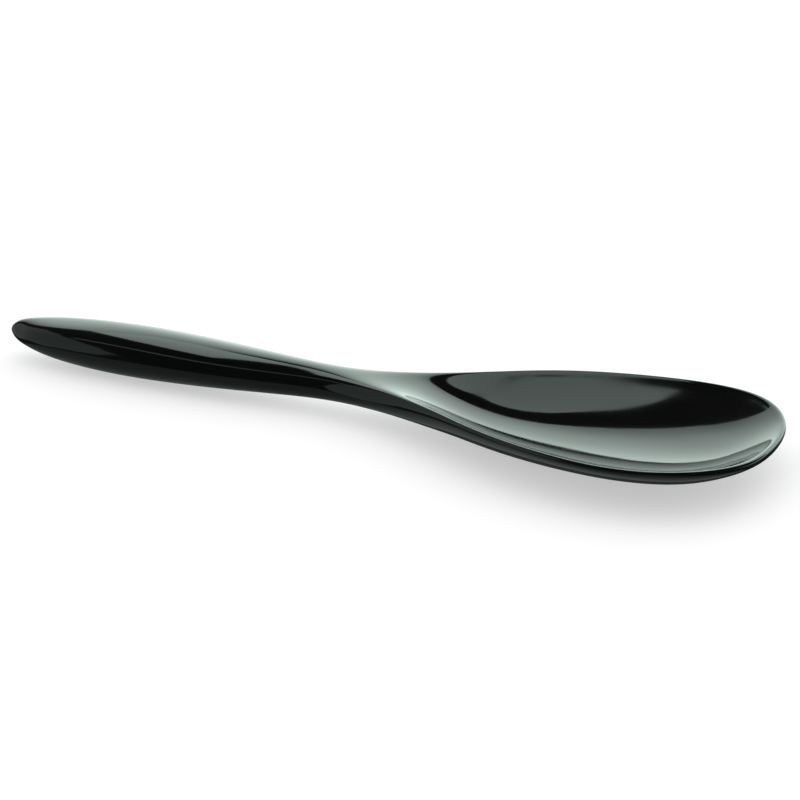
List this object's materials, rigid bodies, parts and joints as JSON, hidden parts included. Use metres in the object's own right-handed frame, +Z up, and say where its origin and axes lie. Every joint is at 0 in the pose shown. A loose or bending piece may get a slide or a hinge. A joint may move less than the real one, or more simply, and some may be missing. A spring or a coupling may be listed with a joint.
{
  "type": "lacquered wooden spoon",
  "caption": "Large carved wooden spoon with a shallow egg-shaped bowl, a thin rounded rim, a slim flat-topped neck and a full oval handle, sealed in glossy black lacquer.",
  "frame": {"origin": "on the table below the middle of the spoon's length: centre of the bottom of its box, with the spoon lying level on its belly", "axes": "+X along the spoon from the end of the handle to the front of the bowl, +Z up out of the hollow, Y across"},
  "size_m": [0.21, 0.064, 0.0132],
  "materials": {
    "linden_wood": "fine sanded, straight grain along the spoon",
    "clay_ground": "thin matt clay and oil ground, sanded smooth",
    "black_lacquer": "deep black lacquer, mirror gloss"
  },
  "bodies": {
    "root": {"wood_core": "linden_wood", "ground_coat": "clay_ground", "lacquer_coat": "black_lacquer"}
  },
  "joints": []
}
